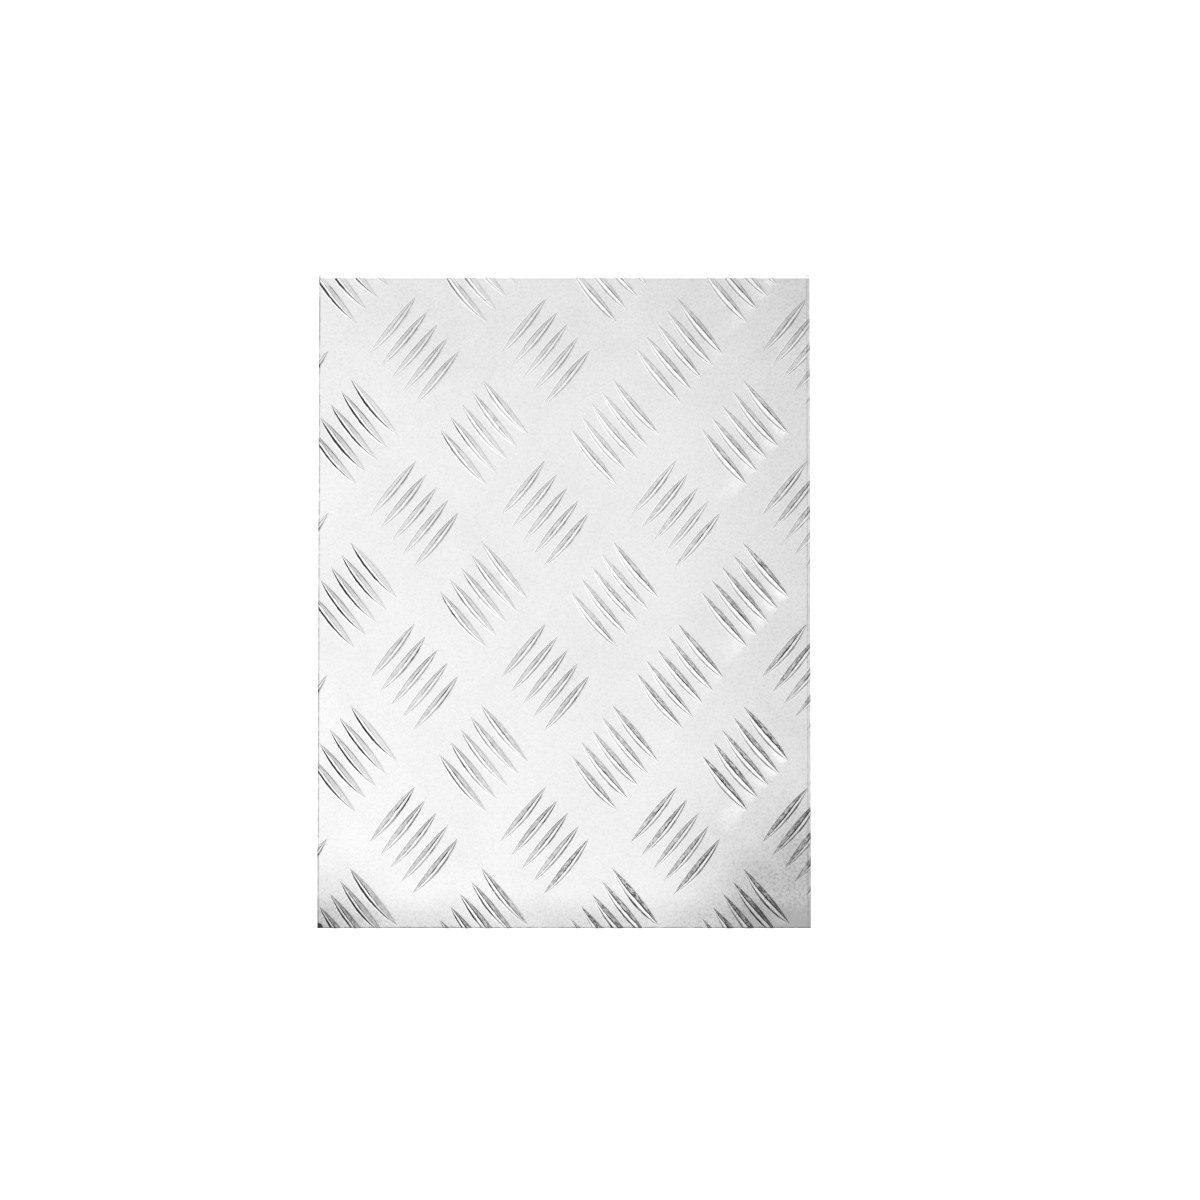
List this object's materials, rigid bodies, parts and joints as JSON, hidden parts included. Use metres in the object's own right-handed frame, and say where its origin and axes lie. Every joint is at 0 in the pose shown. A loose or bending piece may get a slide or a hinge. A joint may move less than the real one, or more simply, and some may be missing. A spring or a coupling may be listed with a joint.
{
  "type": "checker plate",
  "caption": "Flat rectangular aluminium checker plate with raised groups of slanted tread bars on one face and a plain underside.",
  "frame": {"origin": "centre of the underside, the face the plate rests on", "axes": "+X across the plate, +Y along its longer side, +Z out of the tread face"},
  "size_m": [0.2, 0.266, 0.004],
  "materials": {
    "mill_aluminium": "bright mill finish, fine rolling grain, satin flats and brighter tread bars"
  },
  "bodies": {
    "root": {"checker_plate": "mill_aluminium"}
  },
  "joints": []
}
